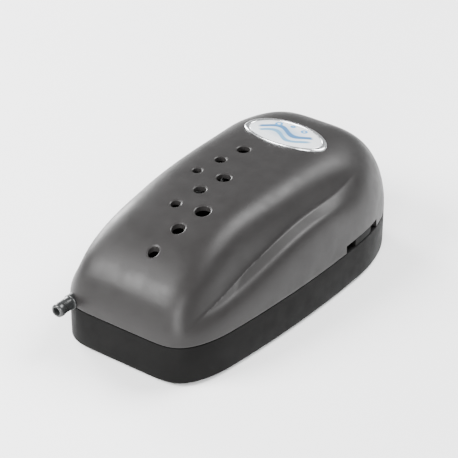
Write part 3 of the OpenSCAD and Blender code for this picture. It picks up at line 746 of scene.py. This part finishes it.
def build_tray():
    """The black lower shell, with a rolled bottom edge and an inner lip."""
    lip_out, lip_in, lip_top = WALL + 0.2, WALL + 1.4, BASE_H + 1.8
    bottom = [(d, z) for d, z in arc(1.6, TRAY_BOTTOM + 1.6, 1.6, 270, 180, 7)]
    profile = bottom + [(0, BASE_H - 0.3), (0.09, BASE_H - 0.09), (0.3, BASE_H), (WALL, BASE_H),
                        (WALL, BASE_H - 0.9), (lip_out, BASE_H - 0.9), (lip_out, lip_top - 0.2),
                        (lip_out + 0.2, lip_top), (lip_in - 0.2, lip_top), (lip_in, lip_top - 0.2),
                        (lip_in, BASE_H - 3), (WALL, BASE_H - 3), (WALL, FLOOR_Z)]
    middle = BODY_L / 2
    mesh = ring_mesh("base_tray_shell", [flat_ring(d, z) for d, z in profile],
                     (middle, 0, TRAY_BOTTOM), (middle, 0, FLOOR_Z))
    tray = link("base_tray_shell", mesh)
    fix_normals(mesh)
    trims = [block((NOTCH_X[0] - 1, s - 10, BASE_H), (NOTCH_X[1] + 1, s + 10, BASE_H + 5)) for s in (-40, 40)]
    trims.append(block((-1, NOZZLE_Y - 4, BASE_H), (9, NOZZLE_Y + 4, BASE_H + 5)))
    combine(tray, joined("trims", trims), "DIFFERENCE")
    added = [rod(x, y, FLOOR_Z - 0.5, FLOOR_Z + 10, POST_R + 0.4) for x, y in POSTS]
    added += [side_tongue(side) for side in (-1, 1)]
    combine(tray, joined("bosses", added), "UNION")
    cuts = []
    for x, y in POSTS:
        cuts.append(lathe("cut", (x, y, 0), (0, 0, 1), [
            (0, 3.5), (TRAY_BOTTOM, 3.5), (TRAY_BOTTOM + 0.3, 3.2), (TRAY_BOTTOM + 2.6, 3.2),
            (TRAY_BOTTOM + 2.6, SCREW_R + 0.2), (BASE_H, SCREW_R + 0.2)], 64))
    cuts += [rod(x, y, 0, TRAY_BOTTOM + 1.2, FOOT_R) for x, y in FEET]
    cuts += [rod(x, y, FLOOR_HOLE_Z, FLOOR_Z + 1, SMALL_R) for x, y in FLOOR_SCREWS]
    cuts.append(block((GRILLE_LOW.x, GRILLE_LOW.y, 0), (GRILLE_HIGH.x, GRILLE_HIGH.y, FLOOR_Z + 1)))
    cuts.append(lathe("cut", (-1, NOZZLE_Y, NOZZLE_Z), (1, 0, 0), [(0, 3.1), (12, 3.1)], 64))
    cuts.append(lathe("cut", (BODY_L - 8, GLAND_Y, GLAND_Z), (1, 0, 0), [(0, 4), (9, 4)], 64))
    combine(tray, joined("cuts", cuts), "DIFFERENCE")
    finish_piece(tray, PLASTIC["tray"], "tray", "housing", "base_tray")


def build_badge():
    """A silver rim and a domed, printed face that follow the crest of the cover."""
    low, high = node_box("badge")
    centre = np.array([(low.x + high.x) / 2, (low.y + high.y) / 2])
    half = np.array([(high.x - low.x) / 2, (high.y - low.y) / 2])
    turns = np.linspace(0, TAU, 161)[:-1]

    def ring(share, lift):
        plan = centre + share * half * np.stack([np.cos(turns), np.sin(turns)], 1)
        return np.column_stack([plan, height_at(plan) + lift])

    rim_section = [(1.0, -0.2), (1.0, 0.18), (0.992, 0.42), (0.974, 0.60), (0.95, 0.66), (0.925, 0.61),
                   (0.90, 0.46), (0.885, 0.24), (0.885, -0.2)]
    rim = link("badge_rim", ring_mesh("badge_rim", [ring(s, h) for s, h in rim_section]))
    finish_piece(rim, BADGE_SILVER, "badge", "housing", "badge")
    edge = 0.878
    face_section = [(edge, -0.2), (edge, 0.2), (edge - 0.01, 0.30)]
    face_section += [(edge * s, 0.34 + 0.31 * (1 - s**2)) for s in np.linspace(0.95, 0.05, 19)]
    rings = [ring(s, h) for s, h in face_section]
    under = (*centre, height_at(centre) - 0.2)
    face = link("badge_face", ring_mesh("badge_face", rings, under, (*centre, height_at(centre) + 0.65)))
    print_centre = place(*centre, 0)
    material = badge_print(print_centre, Vector((*half, 0)) * MM)
    finish_piece(face, material, "badge", "housing", "badge", angle=50)


def build_nozzle():
    """Hose tail with a bead at its open end and a flange inside the wall."""
    out = -NOZZLE_LOW.x
    bore = 1.5
    flange = -FLANGE_X
    end = -NOZZLE_HIGH.x
    profile = [(end, bore), (end, 2.4), (end + 0.2, 2.6), (flange - 1, 2.6), (flange - 1, 3.65),
               (flange - 0.85, 3.8), (flange - 0.15, 3.8), (flange, 3.65), (flange, 3.1), (-0.2, 3.1),
               (0, 2.9), (0.6, 2.72), (out - 3.2, 2.68), (out - 2.7, 2.86), (out - 2.2, NOZZLE_R),
               (out - 1.2, NOZZLE_R), (out - 0.5, 2.74), (out - 0.12, 2.4), (out, 2.1), (out - 0.05, 1.8),
               (out - 0.4, 1.58), (out - 1.0, bore)]
    mesh = lathe("air_nozzle", (0, NOZZLE_Y, NOZZLE_Z), (-1, 0, 0), profile, 72, closed=True)
    finish_piece(link("air_nozzle", mesh), PLASTIC["nozzle"], "nozzle", "housing", "outlet_nozzle", angle=30)


def build_feet():
    """Four rubber discs with a rounded edge and a shallow dimple."""
    r = FOOT_R - 0.1
    profile = [(0.35, 1.2), (0.32, 1.7), (0.05, 2.3), (0, 2.6), (0, r - 0.7), (0.06, r - 0.4),
               (0.25, r - 0.14), (0.6, r), (TRAY_BOTTOM + 1.2, r)]
    meshes = [lathe("foot", (x, y, 0), (0, 0, 1), profile, 56) for x, y in FEET]
    finish_piece(joined("foot_discs", meshes), FOOT_RUBBER, "feet", "housing", "rubber_feet")


def build_gland():
    """Rubber bush with a rounded collar inside the rear wall."""
    length = GLAND_HIGH.x - GLAND_LOW.x
    collar = (GLAND_HIGH.y - GLAND_LOW.y) / 2
    profile = [(0.3, 2.8), (0.06, 3.0), (0, 3.4), (0, collar - 0.5), (0.15, collar - 0.12), (0.5, collar),
               (1.2, collar), (1.5, collar - 0.2), (1.6, collar - 0.6), (1.6, 4), (length - 0.5, 4),
               (length - 0.12, 3.85), (length, 3.5), (length, 3.2), (length - 0.2, 2.9), (length - 0.6, 2.8)]
    mesh = lathe("gland_bush", (GLAND_LOW.x, GLAND_Y, GLAND_Z), (1, 0, 0), profile, 64, closed=True)
    finish_piece(link("gland_bush", mesh), RUBBER, "soft_rubber", "housing", "cord_gland")


# ---------------------------------------------------------------- inner pieces
def rounded_loop(half_y, half_z, radius, steps=8):
    """A rectangle with round corners, as (y, z) points."""
    loop = []
    for quarter, (sy, sz) in enumerate(((1, 1), (-1, 1), (-1, -1), (1, -1))):
        for turn in np.radians(np.linspace(90 * quarter, 90 * quarter + 90, steps)):
            loop.append((sy * (half_y - radius) + radius * math.cos(turn),
                         sz * (half_z - radius) + radius * math.sin(turn)))
    return np.array(loop)


def build_winding():
    """The coil's outer layer of round wire, laid turn beside turn, and its bore."""
    low, high = node_box("coil_winding")
    middle_z = (low.z + high.z) / 2
    half_y, half_z = (high.y - low.y) / 2, (high.z - low.z) / 2
    bore_y, bore_z = 9.15, 6.15
    turns = 24
    wire = (high.x - low.x) / turns
    rings = []
    for step in range(turns * 8 + 1):
        x = low.x + wire * step / 8
        sink = wire / 2 * (1 - math.sqrt(max(0, 1 - (2 * (step / 8 % 1) - 1) ** 2)))
        loop = rounded_loop(half_y - sink, half_z - sink, 2.6)
        rings.append([(x, y, middle_z + z) for y, z in loop])
    for x in (high.x, low.x):
        rings.append([(x, y, middle_z + z) for y, z in rounded_loop(bore_y, bore_z, 0.3)])
    coil = link("wound_coil", ring_mesh("wound_coil", rings))
    finish_piece(coil, COPPER, "copper", "housing", "coil_winding", angle=60)


def build_core():
    """Thin E-shaped sheets stacked across the pump, each with a hair of space to the next."""
    low, high = node_box("laminated_core")
    limb_x = low.x + 20
    middle = (low.z + high.z) / 2
    outline = [(low.x, low.z), (high.x, low.z), (high.x, high.z), (low.x, high.z), (low.x, high.z - 6.5),
               (limb_x, high.z - 6.5), (limb_x, middle + 5), (low.x, middle + 5), (low.x, middle - 5),
               (limb_x, middle - 5), (limb_x, low.z + 6.5), (low.x, low.z + 6.5)]
    sheets = 26
    pitch = (high.y - low.y) / sheets
    meshes = []
    count = len(outline)
    for k in range(sheets):
        y0 = low.y + pitch * k
        y1 = y0 + pitch * 0.9
        points = [(x, y, z) for y in (y0, y1) for x, z in outline]
        faces = [tuple(range(count)), tuple(range(2 * count - 1, count - 1, -1))]
        faces += [(i, (i + 1) % count, count + (i + 1) % count, count + i) for i in range(count)]
        mesh = make_mesh("sheet", to_frame(points), faces)
        fix_normals(mesh)
        meshes.append(mesh)
    core = joined("core_sheets", meshes)
    finish_piece(core, LAMINATIONS, "laminations", "housing", "laminated_core", angle=20)


def build_diaphragm():
    """Rubber cup with a rolled edge, a soft convolution and a thick crown."""
    low, high = node_box("diaphragm")
    x, y = (low.x + high.x) / 2, (low.y + high.y) / 2
    flange = (high.x - low.x) / 2
    top = high.z - low.z
    profile = [(0, 10.4), (0, flange - 0.3), (0.3, flange), (0.9, flange), (1.2, flange - 0.3), (1.2, 11.4),
               (1.5, 10.9), (2.6, 10.4), (4.0, 9.6), (5.2, 8.8), (top - 0.5, 7.2), (top - 0.12, 6.8),
               (top, 6.3), (top, 1.7), (top - 2, 1.7), (top - 2, 6.0), (4.6, 7.6), (3.2, 8.6), (1.6, 9.6)]
    mesh = lathe("diaphragm_cup", (x, y, low.z), (0, 0, 1), profile, 72, closed=True)
    cup = link("diaphragm_cup", mesh)
    finish_piece(cup, RUBBER, "soft_rubber", None, "diaphragm", angle=40)
    place(x, y, low.z + 1.2)
    place(x, y, high.z - 2)
    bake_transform(cup)


CAD_LOOKS = [
    (ZINC, "cover_screws ring_screws bracket_screws strap_screws diaphragm_screw core_strap"),
    (STEEL, "diaphragm_washer pivot_pin magnet_holder"),
    (BRONZE, "pivot_bushes"),
    (MAGNET, "arm_magnets"),
    (FELT, "filter_pad"),
    (PLASTIC["tray"], "filter_grille"),
    (HOSE, "outlet_hose"),
    (WIRE, "lead_wires"),
    (PLASTIC["inner"], "valve_box valve_plate diaphragm_ring swing_arm pivot_bracket"),
    (PLASTIC["bobbin"], "coil_bobbin wire_connectors"),
    (RUBBER, "valve_gasket inlet_flap outlet_flap"),
]


def dress_cad_nodes():
    for material, nodes in CAD_LOOKS:
        for node in nodes.split():
            dress(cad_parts[node], material)


# ---------------------------------------------------------------- floor, light and camera
def build_floor():
    """A plain pale floor that reaches far past the object."""
    material, nodes, links, shader = principled("pale_floor")
    cloud = noise(nodes, links, 6, 2)
    links.new(ramp(nodes, links, cloud, (0.88, 0.88, 0.885), (0.90, 0.90, 0.90)), shader.inputs["Base Color"])
    links.new(bump(nodes, links, noise(nodes, links, 900, 2), 0.05, 0.0001), shader.inputs["Normal"])
    shader.inputs["Roughness"].default_value = 0.75
    reach = 4.0
    corners = [(-reach, -reach, 0), (reach, -reach, 0), (reach, reach, 0), (-reach, reach, 0)]
    mesh = make_mesh("floor", corners, [(0, 1, 2, 3)])
    floor = link("floor", mesh)
    floor.data.materials.append(material)


def area_light(name, direction, distance, size, power, tint=(1, 1, 1)):
    """A soft light that looks at the object from a direction."""
    light = bpy.data.lights.new(name, "AREA")
    light.shape = "DISK"
    light.size = size
    light.energy = power
    light.color = tint
    lamp = bpy.data.objects.new(name, light)
    towards = Vector(direction).normalized()
    lamp.location = MIDDLE + towards * distance
    lamp.rotation_mode = "QUATERNION"
    lamp.rotation_quaternion = (-towards).to_track_quat("-Z", "Y")
    bpy.context.scene.collection.objects.link(lamp)


def light_scene():
    world = bpy.data.worlds.new("studio")
    world.use_nodes = True
    world.node_tree.nodes["Background"].inputs["Color"].default_value = (0.96, 0.98, 1.0, 1)
    world.node_tree.nodes["Background"].inputs["Strength"].default_value = 0.55
    bpy.context.scene.world = world
    area_light("key", (-0.62, 0.45, 0.62), 0.9, 0.5, 20.0)
    area_light("fill", (-0.85, -0.45, 0.35), 0.9, 0.5, 14.0)
    area_light("side", (0.55, -0.31, 0.78), 1.0, 0.65, 23.0)
    area_light("rim", (0.3, 0.9, 0.25), 0.9, 0.4, 16.0)


def aim_camera(azimuth, elevation, roll, distance, width):
    """Looks at the middle of the object. The width is what the picture takes in there."""
    turn, rise = math.radians(azimuth), math.radians(elevation)
    back = Vector((math.sin(turn) * math.cos(rise), -math.cos(turn) * math.cos(rise), math.sin(rise)))
    camera = bpy.data.cameras.new("camera")
    camera.sensor_width = 36
    camera.lens = camera.sensor_width * distance / width
    camera.clip_start = 0.02
    holder = bpy.data.objects.new("camera", camera)
    holder.location = MIDDLE + back * distance
    holder.rotation_mode = "QUATERNION"
    look = (-back).to_track_quat("-Z", "Y")
    holder.rotation_quaternion = look @ Matrix.Rotation(math.radians(roll), 4, "Z").to_quaternion()
    bpy.context.scene.collection.objects.link(holder)
    bpy.context.scene.camera = holder


MIDDLE = (CAD_LO + CAD_HI) / 2
aim_camera(-53.5, 31.5, 0, 0.76, 0.19)
light_scene()
build_floor()
build_cover()
build_tray()
build_badge()
build_nozzle()
build_feet()
build_gland()
build_winding()
build_core()
build_diaphragm()
dress_cad_nodes()
